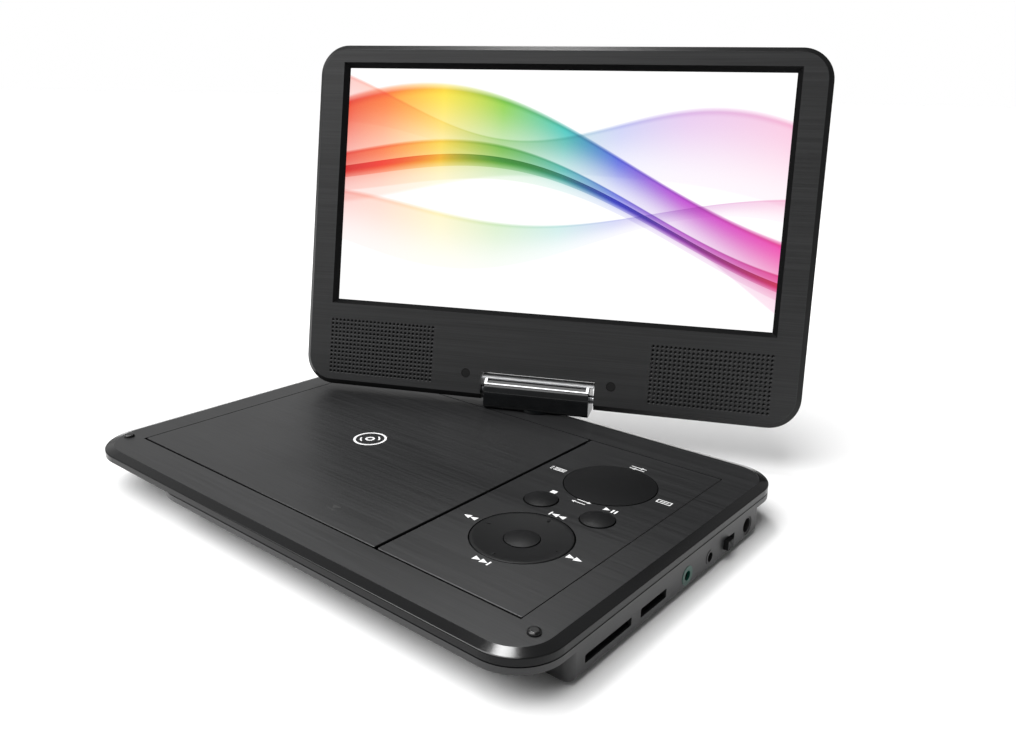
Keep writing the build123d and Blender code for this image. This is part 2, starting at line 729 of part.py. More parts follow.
def make_switch_knob():
    face = hull_right
    stem = block(114.3, face - 0.6, switch_y - 1.6, switch_y + 1.6, socket_z - 1.0, socket_z + 1.0)
    cap = block(face - 1.2, face + 1.8, switch_y - 2.2, switch_y + 2.2, socket_z - 1.9, socket_z + 1.9)
    cap = fillet(cap.edges().filter_by(Axis.X), 0.4)
    for step in (-1, 0, 1):
        groove_y = switch_y + step * 1.2
        groove = block(face + 1.3, 130, groove_y - 0.25, groove_y + 0.25, 0, 20)
        cap = cap - groove
    return stem + cap


def make_dc_pin():
    y, z = dc_y, socket_z + 0.5
    return rod_x(108, hull_right - 4.0, y, z, 0.85)


parts["main_board"] = make_main_board()
parts["battery_pack"] = fillet(block(46, 101, -54, 54, 4.4, 9.2).edges().filter_by(Axis.Y), 1.2)
parts["headphone_jack"] = make_jack(headphone_y, headphone_ring_radius)
parts["headphone_ring"] = jack_ring(headphone_y, headphone_ring_radius)
parts["av_jack"] = make_jack(av_y, av_ring_radius)
parts["av_ring"] = jack_ring(av_y, av_ring_radius)
parts["dc_jack"] = make_dc_jack()
parts["dc_pin"] = make_dc_pin()
parts["card_socket"] = make_slot_socket(card_slot_y, card_slot_width, card_slot_height, 12.5)
parts["short_slot_socket"] = make_slot_socket(short_slot_y, short_slot_width, short_slot_height, 12.5)
parts["power_switch"] = make_switch_body()
parts["power_switch_knob"] = make_switch_knob()

# ================= swivelling hinge =================


def turned(solid):
    """A piece drawn square to the base, turned to the stored swivel angle."""
    return swivel_place * solid


def make_barrel():
    """A bar with a round top and a square foot, bored at each end for the tilt pins."""
    foot = Pos(0, -barrel_radius / 2) * Rectangle(2 * barrel_radius, barrel_radius)
    outline = Circle(barrel_radius) + foot
    section = Plane.YZ * fillet(outline.vertices().group_by(Axis.Y)[0], barrel_foot_radius)
    barrel = Pos(0, hinge_y, hinge_z) * extrude(section, barrel_half_width, both=True)
    ends = barrel.faces().filter_by(Plane.YZ)
    barrel = fillet(ends[0].edges() + ends[-1].edges(), 0.5)
    for side in (-1, 1):
        inner, outer = sorted((side * 17.0, side * (barrel_half_width + 1)))
        barrel = barrel - rod_x(inner, outer, hinge_y, hinge_z, hinge_pin_radius)
    return barrel - rod(0, hinge_y, 0, deck_top + 1.6, collar_radius)


def make_collar():
    """The round foot that the barrel stands on, with the hollow shaft that turns in the deck."""
    collar = rod(0, hinge_y, deck_top + 0.1, deck_top + 1.6, collar_radius)
    collar = fillet(collar.edges().sort_by(Axis.Z)[0], 0.4)
    shaft = rod(0, hinge_y, 10.2, deck_top + 0.8, shaft_radius)
    return collar + shaft - rod(0, hinge_y, 0, deck_top + 1.0, shaft_radius - 1.4)


def arc_band(radius_in, radius_out, angle_from, angle_to, x0, x1):
    """A curved strip on the barrel: angles in degrees, from straight ahead up to the top."""
    band = rod_x(x0, x1, 0, 0, radius_out) - rod_x(x0 - 1, x1 + 1, 0, 0, radius_in)
    reach = 3 * radius_out
    a, b = radians(angle_from), radians(angle_to)
    wedge = Plane.YZ * make_face(
        Polyline((0, 0), (-reach * cos(a), reach * sin(a)), (-reach * cos(b), reach * sin(b)), (0, 0))
    )
    wedge = Pos(x0, 0, 0) * extrude(wedge, x1 - x0)
    return Pos(0, hinge_y, hinge_z) * (band & wedge)


def make_trim():
    """A bright frame on the barrel: a wide rail on top, a narrow one in front, and two ends."""
    outer = barrel_radius + trim_thickness
    x = barrel_half_width - 0.3
    frame = arc_band(barrel_radius, outer, *trim_top_rail, -trim_top_half_width, trim_top_half_width)
    frame = frame + arc_band(barrel_radius, outer, *trim_low_rail, -x, x)
    for side in (-1, 1):
        x0, x1 = sorted((side * (x - trim_end_width), side * x))
        frame = frame + arc_band(barrel_radius, outer, trim_low_rail[0], trim_top_rail[1], x0, x1)
    return frame


def make_hinge_pins():
    pins = []
    for side in (-1, 1):
        x0, x1 = sorted((side * 17.0, side * (notch_half_width + 4.4)))
        pins.append(turned(rod_x(x0, x1, hinge_y, hinge_z, hinge_pin_radius)))
    return pins


def make_swivel_plate():
    plate = slab(42, 12, 2, 14.6, deck_top - deck_thickness, 0, hinge_y - 3.0)
    plate = plate & block(-22, 22, 60, base_depth / 2 - wall - 0.2, 14, 16)
    plate = plate + rod(0, hinge_y, 14.6, deck_top - deck_thickness, hinge_housing_radius - wall - 0.1)
    return plate - rod(0, hinge_y, 0, 30, shaft_radius + 0.06)


parts["swivel_collar"] = turned(make_collar())
parts["hinge_barrel"] = turned(make_barrel())
parts["hinge_trim"] = turned(make_trim())
parts["hinge_pins"] = make_hinge_pins()
parts["swivel_washer"] = rod(0, hinge_y, 13.6, 14.5, 7.0) - rod(0, hinge_y, 0, 30, shaft_radius + 0.06)
parts["swivel_nut"] = turned(
    extrude(Pos(0, hinge_y, 10.6) * RegularPolygon(7.0, 6), 2.9) - rod(0, hinge_y, 0, 30, shaft_radius)
)
parts["swivel_plate"] = make_swivel_plate()

# ================= lid =================
# The lid is drawn standing upright on the hinge axis: X along the lid, Y from face to back, Z up.
lid_centre_z = (lid_low + lid_high) / 2
lid_height = lid_high - lid_low


def lid_outline(inset, y):
    """The lid's outline, inset all round, at depth y."""
    face = RectangleRounded(lid_width - 2 * inset, lid_height - 2 * inset, lid_corner_radius - inset)
    return Pos(0, y, lid_centre_z) * Rot(90, 0, 0) * face


def lid_slab(inset, y0, y1):
    """A plate of the lid's outline between two depths."""
    return extrude(lid_outline(inset, y1), y1 - y0)


def lid_block(x0, x1, z0, z1, y0, y1):
    """A box inside the lid, by its X, Z and depth."""
    return block(x0, x1, y0, y1, z0, z1)


def placed(solids):
    """A lid piece, or a list of them, in its stored pose."""
    if isinstance(solids, list):
        return [lid_place * solid for solid in solids]
    return lid_place * solids


def cut_notch(shell):
    """The cut-out in the lid's lower edge that the hinge barrel fills."""
    shell = shell - lid_block(-notch_half_width, notch_half_width, lid_low - 5, notch_top, -20, 20)
    shell = shell - rod_x(-notch_half_width - 5.2, notch_half_width + 5.2, 0, 0, hinge_pin_radius + 0.4)
    for side in (-1, 1):
        x0, x1 = sorted((side * (bracket_inner - 0.2), side * (bracket_inner + 1.6)))
        shell = shell - rod_x(x0, x1, 0, 0, bracket_ear_radius + 0.2)
    return shell


screen_top = screen_low + screen_height
window_x = screen_width / 2


def notch_frame(y0, y1):
    """Walls that close the shell round the notch."""
    out = notch_half_width + lid_wall
    frame = lid_block(-out, out, lid_low + 0.4, notch_top + lid_wall, y0, y1)
    return frame - lid_block(-notch_half_width, notch_half_width, lid_low - 5, notch_top, y0 - 1, y1 + 1)


def make_bezel():
    slope_end = lid_face + lid_edge_slope
    shell = tapered(lid_outline(lid_edge_slope, lid_face), lid_outline(0, slope_end))
    shell = shell + lid_slab(0, slope_end, lid_split)
    edge = shell.edges().filter_by_position(Axis.Y, slope_end - 0.01, slope_end + 0.01)
    shell = fillet(edge, 0.8)
    plate_back = lid_face + screen_depth
    hollow = lid_slab(lid_wall + 1.2, plate_back, lid_split)
    shell = shell - hollow + (notch_frame(plate_back, lid_split) & lid_slab(0.4, lid_face, lid_split))
    # the screen window, with edges that slope inwards
    mouth = Pos(0, lid_face - 0.01, screen_low + screen_height / 2) * Rot(90, 0, 0) * Rectangle(
        screen_width + 2 * screen_bevel, screen_height + 2 * screen_bevel
    )
    throat = Pos(0, plate_back, screen_low + screen_height / 2) * Rot(90, 0, 0) * Rectangle(
        screen_width, screen_height
    )
    shell = shell - tapered(mouth, throat)
    for side in (-1, 1):
        x, z = side * grille_centre_x, grille_centre_z
        shell = shell - lid_block(
            x - grille_width / 2, x + grille_width / 2, z - grille_height / 2, z + grille_height / 2, -20, 20
        )
        shell = shell - rod_y(side * plug_x, lid_face - 1, lid_face + 1.6, plug_z, plug_radius)
        shell = shell - rod_y(side * plug_x, lid_face, plate_back + 1, plug_z, 1.2)
    return cut_notch(shell)


def make_back_cover():
    slope_start = lid_back - lid_edge_slope
    shell = lid_slab(0, lid_split, slope_start)
    shell = shell + tapered(lid_outline(0, slope_start), lid_outline(lid_edge_slope, lid_back))
    edge = shell.edges().filter_by_position(Axis.Y, slope_start - 0.01, slope_start + 0.01)
    shell = fillet(edge, 1.2)
    back_rim = shell.edges().filter_by_position(Axis.Y, lid_back - 0.01, lid_back + 0.01)
    shell = fillet(back_rim, 1.0)
    hollow = lid_slab(lid_wall, lid_split, slope_start - 0.6)
    hollow = hollow + tapered(
        lid_outline(lid_wall, slope_start - 0.6), lid_outline(lid_edge_slope + 0.6, lid_back - lid_wall)
    )
    shell = shell - hollow + (notch_frame(lid_split, lid_back - 1) & lid_slab(0.4, lid_split, lid_back - 1))
    for side in (-1, 1):
        boss = rod_y(side * plug_x, lid_face + screen_depth, lid_back - 1, plug_z, 2.6)
        shell = shell + boss - rod_y(side * plug_x, lid_face, lid_back - 2.5, plug_z, 1.0)
    return cut_notch(shell)


def make_lid_screws():
    screws = []
    for side in (-1, 1):
        x = side * plug_x
        shank = rod_y(x, lid_face + 1.9, lid_back - 3.5, plug_z, 1.0)
        head = rod_y(x, lid_face + 0.9, lid_face + 1.6, plug_z, 2.0)
        screws.append(shank + head + rod_y(x, lid_face + 1.5, lid_face + 2.5, plug_z, 1.0))
    return screws


def make_plugs():
    plugs = []
    for side in (-1, 1):
        plug = rod_y(side * plug_x, lid_face + 0.1, lid_face + 0.85, plug_z, plug_radius)
        plugs.append(chamfer(plug.edges().sort_by(Axis.Y)[0], 0.15))
    return plugs


def make_grille(side):
    x, z = side * grille_centre_x, grille_centre_z
    return lid_block(
        x - grille_width / 2, x + grille_width / 2, z - grille_height / 2, z + grille_height / 2, lid_face,
        lid_face + 1.0,
    )


speaker_width, speaker_height = 44.0, 22.0
speaker_front, speaker_depth = lid_face + 1.9, 5.2


def make_gasket(side):
    x, z = side * grille_centre_x, grille_centre_z
    ring = lid_block(x - 24, x + 24, z - 12.6, z + 12.6, lid_face + 1.0, speaker_front)
    return ring - lid_block(x - 20, x + 20, z - 9.5, z + 9.5, -20, 20)


def make_speaker(side):
    x, z = side * grille_centre_x, grille_centre_z
    w, h = speaker_width / 2, speaker_height / 2
    frame = lid_block(x - w, x + w, z - h, z + h, speaker_front, speaker_front + 2.0)
    frame = fillet(frame.edges().filter_by(Axis.Y), 5)
    magnet = rod_y(x, speaker_front + 1.5, speaker_front + speaker_depth, z, 8.5)
    cone = Pos(x, speaker_front - 14.2, z) * Sphere(15.4)
    return frame + magnet - cone


def make_lcd_panel():
    return lid_block(
        -window_x - 2.5, window_x + 2.5, screen_low - 2.5, screen_top + 2.5, lid_face + screen_depth,
        lid_face + screen_depth + 1.2,
    )


def make_lcd_backlight():
    y0 = lid_face + screen_depth + 1.2
    tray = lid_block(-window_x - 3, window_x + 3, screen_low - 3, screen_top + 3, y0, y0 + 2.6)
    return fillet(tray.edges().filter_by(Axis.Y), 0.8)


def make_lid_bracket(side):
    """A steel plate behind the bezel with an ear that the hinge pin turns in."""
    x0, x1 = sorted((side * bracket_inner, side * 54.0))
    plate = lid_block(x0, x1, -1.5, 20.0, 1.4, 2.4)
    x0, x1 = sorted((side * bracket_inner, side * (bracket_inner + 1.4)))
    ear = rod_x(x0, x1, 0, 0, bracket_ear_radius) + lid_block(x0, x1, -1.5, 8, 0, 2.4)
    bracket = plate + ear - rod_x(x0 - 5, x1 + 5, 0, 0, hinge_pin_radius + 0.06)
    return bracket - rod_y(side * plug_x, -20, 20, plug_z, 2.8)


def make_lid_board():
    board = lid_block(-48, 48, 44, 92, lid_face + screen_depth + 4.0, lid_face + screen_depth + 5.2)
    for x, z, w in ((-20, 60, 12), (18, 76, 9), (30, 56, 6)):
        y = lid_face + screen_depth + 5.2
        board = board + lid_block(x - w / 2, x + w / 2, z - w / 2, z + w / 2, y, y + 0.9)
    return board


parts["lid_front_bezel"] = placed(make_bezel())
parts["lid_back_cover"] = placed(make_back_cover())
parts["lid_screws"] = placed(make_lid_screws())
parts["screw_plugs"] = placed(make_plugs())
parts["lcd_panel"] = placed(make_lcd_panel())
parts["lcd_backlight"] = placed(make_lcd_backlight())
parts["lid_board"] = placed(make_lid_board())
parts["speaker_grilles"] = placed([make_grille(-1), make_grille(1)])
parts["speakers"] = placed([make_speaker(-1), make_speaker(1)])
parts["speaker_gaskets"] = placed([make_gasket(-1), make_gasket(1)])
parts["lid_brackets"] = placed([make_lid_bracket(-1), make_lid_bracket(1)])

os.makedirs("parts", exist_ok=True)
for name, shape in parts.items():
    if isinstance(shape, list):
        shape = Compound(children=shape)
    export_step(shape, "parts/" + name + ".step")
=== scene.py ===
import json
from math import atan2, cos, radians, sin, tau

import bmesh
import bpy
from mathutils import Matrix, Vector


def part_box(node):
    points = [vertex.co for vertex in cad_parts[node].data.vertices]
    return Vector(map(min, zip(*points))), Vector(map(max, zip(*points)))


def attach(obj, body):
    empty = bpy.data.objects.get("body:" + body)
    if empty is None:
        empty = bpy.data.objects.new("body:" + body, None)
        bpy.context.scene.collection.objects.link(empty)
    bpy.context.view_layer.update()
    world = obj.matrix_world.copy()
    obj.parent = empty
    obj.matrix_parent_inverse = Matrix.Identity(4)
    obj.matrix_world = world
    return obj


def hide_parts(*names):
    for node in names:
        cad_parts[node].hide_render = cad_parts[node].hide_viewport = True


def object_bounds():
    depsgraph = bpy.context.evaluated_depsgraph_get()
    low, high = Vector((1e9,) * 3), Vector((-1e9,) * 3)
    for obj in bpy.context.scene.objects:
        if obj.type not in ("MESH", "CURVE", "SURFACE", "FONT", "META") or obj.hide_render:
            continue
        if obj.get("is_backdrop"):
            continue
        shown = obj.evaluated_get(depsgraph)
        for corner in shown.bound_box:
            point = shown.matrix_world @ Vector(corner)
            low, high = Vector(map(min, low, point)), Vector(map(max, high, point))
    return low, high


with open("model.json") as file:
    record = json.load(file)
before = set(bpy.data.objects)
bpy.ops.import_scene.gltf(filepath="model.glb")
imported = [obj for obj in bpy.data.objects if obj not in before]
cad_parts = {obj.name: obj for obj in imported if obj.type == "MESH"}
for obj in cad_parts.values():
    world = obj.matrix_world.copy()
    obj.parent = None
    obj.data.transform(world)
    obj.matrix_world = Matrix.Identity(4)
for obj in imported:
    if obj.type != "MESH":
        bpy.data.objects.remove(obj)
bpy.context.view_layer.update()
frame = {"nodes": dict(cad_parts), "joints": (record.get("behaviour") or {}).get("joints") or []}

nodes = frame["nodes"]
MM = 0.001
CLOSE = 0.05 * MM

# ---- places read from the frame ----
tilt_joint = next(joint for joint in frame["joints"] if joint["name"] == "lid_tilt")
hinge_point = Vector(tilt_joint["pos_m"])
lid_right = -Vector(tilt_joint["axis"])
swivel_angle = atan2(lid_right.y, lid_right.x)
lean_angle = radians(12.2)
# the lid's own axes: X along its width, Y from its face to its back, Z up its height
LID = (
    Matrix.Translation(hinge_point)
    @ Matrix.Rotation(swivel_angle, 4, "Z")
    @ Matrix.Rotation(-lean_angle, 4, "X")
)
deck_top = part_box("disc_door")[1][2]


def local_box(node, matrix, keep=lambda point: True):
    """The corners of a CAD node in the axes of a matrix, over the vertices that are kept."""
    inverse = matrix.inverted()
    points = [inverse @ vertex.co for vertex in nodes[node].data.vertices]
    points = [point for point in points if keep(point)]
    low = Vector([min(point[axis] for point in points) for axis in range(3)])
    high = Vector([max(point[axis] for point in points) for axis in range(3)])
    return low, high


# ================= materials =================

NOISE_ROUGHNESS = 0.55


class Shade:
    """A number in a material's node tree, with arithmetic that makes Math nodes."""

    def __init__(self, tree, socket):
        self.tree = tree
        self.socket = socket

    def math(self, operation, *others, clamp=False):
        node = self.tree.nodes.new("ShaderNodeMath")
        node.operation = operation
        node.use_clamp = clamp
        for index, value in enumerate((self, *others)):
            if isinstance(value, Shade):
                self.tree.links.new(value.socket, node.inputs[index])
            else:
                node.inputs[index].default_value = value
        return Shade(self.tree, node.outputs[0])

    def __add__(self, other):
        return self.math("ADD", other)

    def __sub__(self, other):
        return self.math("SUBTRACT", other)

    def __mul__(self, other):
        return self.math("MULTIPLY", other)

    def __truediv__(self, other):
        return self.math("DIVIDE", other)

    def sine(self):
        return self.math("SINE")

    def clamped(self):
        return self.math("ADD", 0.0, clamp=True)

    def near(self, value):
        """1 close to a value, and 0 elsewhere."""
        return self.math("COMPARE", value, CLOSE)

    def step(self, low, high):
        """0 below low, 1 above high, smooth between."""
        node = self.tree.nodes.new("ShaderNodeMapRange")
        node.interpolation_type = "SMOOTHSTEP"
        self.tree.links.new(self.socket, node.inputs["Value"])
        for name, value in (("From Min", low), ("From Max", high)):
            if isinstance(value, Shade):
                self.tree.links.new(value.socket, node.inputs[name])
            else:
                node.inputs[name].default_value = value
        return Shade(self.tree, node.outputs["Result"])


class Material:
    """A Principled material with helpers for its patterns.

    Its coordinates are the shared frame's, or those of a matrix.
    """

    def __init__(self, name, color, roughness, matrix=None, **settings):
        self.material = bpy.data.materials.new(name)
        self.material.use_nodes = True
        self.tree = self.material.node_tree
        self.shader = self.tree.nodes["Principled BSDF"]
        self.shader.inputs["Base Color"].default_value = (*color, 1.0)
        self.shader.inputs["Roughness"].default_value = roughness
        for key, value in settings.items():
            self.shader.inputs[key.replace("_", " ").title().replace("Ior", "IOR")].default_value = value
        self.coords = self.new("ShaderNodeTexCoord").outputs["Object"]
        if matrix is not None:
            inverse = matrix.inverted()
            turn = self.new("ShaderNodeMapping")
            turn.inputs["Location"].default_value = inverse.to_translation()
            turn.inputs["Rotation"].default_value = inverse.to_euler()
            self.link(self.coords, turn.inputs["Vector"])
            self.coords = turn.outputs["Vector"]

    def new(self, kind):
        return self.tree.nodes.new(kind)

    def link(self, a, b):
        self.tree.links.new(a.socket if isinstance(a, Shade) else a, b)

    def axes(self):
        """The three coordinates as numbers."""
        split = self.new("ShaderNodeSeparateXYZ")
        self.link(self.coords, split.inputs[0])
        return [Shade(self.tree, output) for output in split.outputs]

    def stretched(self, scale):
        """The coordinates scaled by a factor for each axis."""
        mapping = self.new("ShaderNodeMapping")
        mapping.inputs["Scale"].default_value = scale
        self.link(self.coords, mapping.inputs["Vector"])
        return mapping.outputs["Vector"]

    def noise(self, scale, detail):
        node = self.new("ShaderNodeTexNoise")
        node.inputs["Scale"].default_value = 1.0
        node.inputs["Detail"].default_value = detail
        node.inputs["Roughness"].default_value = NOISE_ROUGHNESS
        self.link(self.stretched(scale), node.inputs["Vector"])
        return Shade(self.tree, node.outputs["Fac"])

    def cells(self, scale):
        """The distance to the nearest of many scattered points."""
        node = self.new("ShaderNodeTexVoronoi")
        node.inputs["Scale"].default_value = 1.0
        self.link(self.stretched(scale), node.inputs["Vector"])
        return Shade(self.tree, node.outputs["Distance"])

    def ramp(self, factor, stops):
        """A colour ramp: stops are (position, colour)."""
        node = self.new("ShaderNodeValToRGB")
        elements = node.color_ramp.elements
        while len(elements) < len(stops):
            elements.new(0.5)
        for element, (position, color) in zip(elements, stops):
            element.position = position
            element.color = (*color, 1.0)
        self.link(factor, node.inputs["Fac"])
        return node.outputs["Color"]

    def mix(self, factor, first, second, blend="MIX"):
        node = self.new("ShaderNodeMix")
        node.data_type = "RGBA"
        node.blend_type = blend
        self.link(factor, node.inputs["Factor"])
        for index, value in ((6, first), (7, second)):
            if isinstance(value, tuple):
                node.inputs[index].default_value = (*value, 1.0)
            else:
                self.link(value, node.inputs[index])
        return node.outputs[2]

    def color(self, socket):
        self.link(socket, self.shader.inputs["Base Color"])
        return self

    def rough(self, factor, low, high):
        self.link(factor * (high - low) + low, self.shader.inputs["Roughness"])
        return self

    def bump(self, height, depth, strength):
        """Adds relief of that depth in metres. Calls stack."""
        node = self.new("ShaderNodeBump")
        node.inputs["Distance"].default_value = depth
        node.inputs["Strength"].default_value = strength
        self.link(height, node.inputs["Height"])
        normal = self.shader.inputs["Normal"]
        if normal.is_linked:
            self.link(normal.links[0].from_socket, node.inputs["Normal"])
        self.link(node.outputs["Normal"], normal)
        return self


def grey(value, tint=(1.0, 1.0, 1.0)):
    return tuple(value * part for part in tint)


COOL = (0.97, 0.99, 1.03)
BLUE = (0.85, 1.0, 1.15)
POLISHED = 0.006  # the tone of the smooth edges
LID_FACES = [local_box("lid_front_bezel", LID)[0].y, local_box("lid_back_cover", LID)[1].y]


def brushed_plastic(name, matrix, dark, light, axis, heights, glossy_above, polish):
    """Charcoal plastic, brushed along X on some faces and smooth round them.

    The brushed faces are those at the heights along the axis. The edges are glossier above one height, and
    polish is their roughness.
    """
    made = Material(name, grey(dark, COOL), 0.4, matrix, specular_ior_level=0.45)
    height = made.axes()[axis]
    flat = height.near(heights[0])
    for other in heights[1:]:
        flat = flat + height.near(other)
    edge = flat * -1.0 + 1.0
    fine = made.noise((30, 3000, 3000), 2.0)
    coarse = made.noise((9, 900, 900), 2.0)
    cloud = made.noise((22, 22, 22), 3.0)
    lines = (fine * 0.6 + coarse * 0.4).step(0.30, 0.70)
    base = made.ramp(lines, [(0.0, grey(dark, COOL)), (1.0, grey(light, COOL))])
    clouded = made.mix(cloud.step(0.3, 0.8) * 0.25, base, grey(dark * 0.8, COOL))
    made.color(made.mix(flat, grey(POLISHED, COOL), clouded))
    brushed = (coarse * 0.7 + cloud * 0.3).step(0.0, 1.0) * 0.16 + 0.33
    made.rough(flat * brushed + edge * (cloud * 0.1 + polish), 0.0, 1.0)
    gloss = height.step(glossy_above - CLOSE, glossy_above + CLOSE) * 0.3 + 0.15
    made.link(flat * 0.45 + edge * gloss, made.shader.inputs["Specular IOR Level"])
    return made.bump((fine * 0.5 + coarse * 0.5) * flat, 0.02 * MM, 0.35)


def grained_plastic(name, color, roughness, grain=0.03 * MM, specular=0.45):
    """Moulded plastic with a spark-eroded grain."""
    made = Material(name, color, roughness, specular_ior_level=specular)
    grains = made.noise((2600, 2600, 2600), 2.0)
    cloud = made.noise((35, 35, 35), 4.0)
    shade = grains * 0.5 + cloud * 0.5
    low, high = tuple(c * 0.86 for c in color), tuple(c * 1.16 for c in color)
    made.color(made.ramp(shade, [(0.3, low), (0.7, high)]))
    made.rough(shade, roughness - 0.06, roughness + 0.08)
    return made.bump(grains, grain, 0.35)


def gloss_plastic(name, color, roughness):
    """Polished plastic: faint orange peel and a little haze where it is handled."""
    made = Material(name, color, roughness, specular_ior_level=0.4)
    haze = made.noise((120, 120, 120), 5.0)
    made.color(made.ramp(haze, [(0.3, color), (0.8, tuple(c * 1.5 + 0.002 for c in color))]))
    made.rough(haze.step(0.35, 0.85), roughness, roughness + 0.12)
    return made.bump(made.noise((420, 420, 420), 1.0), 0.02 * MM, 0.15)


def metal(name, color, roughness):
    """Metal with fine drawing marks along X."""
    made = Material(name, color, roughness, metallic=1.0)
    marks = made.noise((60, 2400, 2400), 3.0)
    stain = made.noise((90, 90, 90), 4.0)
    tone = marks * 0.6 + stain * 0.4
    made.color(made.ramp(tone, [(0.25, tuple(c * 0.82 for c in color)), (0.75, color)]))
    made.rough(tone, roughness * 0.75, roughness * 1.4)
    return made.bump(marks, 0.01 * MM, 0.3)


def satin_plating(name):
    """Satin silver plating on plastic."""
    made = Material(name, (0.92, 0.93, 0.94), 0.5, metallic=0.3)
    haze = made.noise((300, 300, 300), 4.0)
    made.color(made.ramp(haze, [(0.3, (0.88, 0.89, 0.91)), (0.7, (0.95, 0.955, 0.965))]))
    return made.rough(haze, 0.42, 0.58)


def rubber(name, value, roughness):
    """Rubber with specks and a little dust."""
    made = Material(name, grey(value), roughness, specular_ior_level=0.5)
    speck = made.noise((1500, 1500, 1500), 3.0)
    dust = made.noise((160, 160, 160), 5.0)
    made.color(made.ramp(dust, [(0.35, grey(value)), (0.8, grey(value * 2.2))]))
    made.rough(dust, roughness - 0.12, roughness + 0.12)
    return made.bump(speck, 0.03 * MM, 0.3)


def silicone(name):
    """Cloudy translucent silicone."""
    made = Material(name, (0.42, 0.43, 0.44), 0.45, transmission_weight=0.25, ior=1.41)
    cloud = made.noise((70, 70, 70), 4.0)
    made.color(made.ramp(cloud, [(0.3, (0.36, 0.37, 0.38)), (0.7, (0.5, 0.51, 0.52))]))
    return made.bump(made.noise((900, 900, 900), 2.0), 0.02 * MM, 0.3)


def circuit_board(name, matrix=None):
    """Green solder mask over copper tracks, with tinned pads."""
    made = Material(name, (0.01, 0.09, 0.03), 0.35, matrix, coat_weight=0.3, coat_roughness=0.15)
    x, y, _ = made.axes()
    along = (x * (tau / (1.6 * MM)) + made.noise((260, 260, 260), 1.0) * 9.0).sine()
    across = (y * (tau / (2.1 * MM)) + made.noise((190, 190, 190), 1.0) * 9.0).sine()
    patch = made.cells((110, 110, 110)).step(0.4, 0.5)
    tracks = along.step(0.55, 0.7) * patch + across.step(0.6, 0.75) * (patch * -1.0 + 1.0)
    pads = made.cells((330, 330, 330)).step(0.13, 0.1)
    mask = made.mix(tracks.clamped(), (0.006, 0.065, 0.024), (0.016, 0.14, 0.05))
    made.color(made.mix(pads, mask, (0.5, 0.5, 0.48)))
    return made.bump(tracks, 0.04 * MM, 0.5)


def shrink_wrap(name):
    """Blue film shrunk over the battery, with folds; its colour is darker in their hollows and lighter on
    their ridges, painted shade and light.
    """
    made = Material(name, (0.01, 0.05, 0.2), 0.28, coat_weight=0.4, coat_roughness=0.1)
    folds_and_fold_shade = made.noise((30, 260, 260), 4.0)
    # painted shade and light: darker in the fold hollows, lighter on the ridges
    made.color(made.ramp(folds_and_fold_shade, [(0.3, (0.008, 0.035, 0.15)), (0.7, (0.014, 0.07, 0.26))]))
    made.rough(folds_and_fold_shade, 0.2, 0.4)
    return made.bump(folds_and_fold_shade, 0.25 * MM, 0.5)


def coated_lens(name):
    """A small lens with a bluish coating."""
    made = Material(name, (0.35, 0.42, 0.75), 0.04, transmission_weight=0.7, ior=1.55, coat_weight=0.6)
    return made.rough(made.noise((500, 500, 500), 3.0), 0.02, 0.09)


def foam(name):
    """Black open-cell foam, darker in the pits of its pores as painted shade."""
    made = Material(name, grey(0.018), 0.95)
    pores_and_pore_shade = made.cells((1600, 1600, 1600))
    # painted shade: the colour is darker in the pits of the pores
    made.color(made.ramp(pores_and_pore_shade, [(0.1, grey(0.005)), (0.6, grey(0.03))]))
    return made.bump(pores_and_pore_shade, 0.2 * MM, 0.8)


def printed_ink(name, value):
    """A matt print, worn a little thin in places."""
    made = Material(name, grey(value), 0.5)
    wear = made.noise((900, 900, 900), 4.0)
    made.color(made.ramp(wear, [(0.3, grey(value * 0.86)), (0.6, grey(value))]))
    return made.rough(wear, 0.4, 0.6)


def studio_floor(name):
    """The plain pale ground."""
    made = Material(name, grey(0.9), 0.7, specular_ior_level=0.2)
    cloud = made.noise((4, 4, 4), 3.0)
    return made.color(made.ramp(cloud, [(0.3, grey(0.895)), (0.7, grey(0.91))]))


# The picture on the screen: soft ribbons of colour on white. Each ribbon runs from left to right between two
# wavy edges. Its numbers are the middle's height, slope, wave height, wave count and phase, then the half
# width at its middle, how that changes along it, the strength of its colour, and how many layers deep it is.
RIBBONS = (
    (0.66, -0.34, 0.185, 0.62, -0.02, 0.150, 0.50, 1.00, 1),
    (0.60, -0.30, 0.130, 0.74, -0.06, 0.060, 0.45, 0.90, 1),
    (0.80, -0.20, 0.060, 1.10, 0.30, 0.100, 0.60, 0.45, 1),
    (0.34, 0.06, 0.080, 0.90, 0.42, 0.070, -0.70, 0.40, 1),
    (0.60, -0.30, 0.130, 0.74, -0.06, 0.020, 0.30, 1.30, 2),
)
SPECTRUM = (
    (0.00, (0.85, 0.05, 0.01)),
    (0.10, (0.95, 0.25, 0.01)),
    (0.24, (0.95, 0.75, 0.02)),
    (0.38, (0.25, 0.62, 0.04)),
    (0.52, (0.03, 0.55, 0.50)),
    (0.64, (0.10, 0.15, 0.75)),
    (0.78, (0.50, 0.04, 0.62)),
    (1.00, (0.85, 0.05, 0.40)),
)


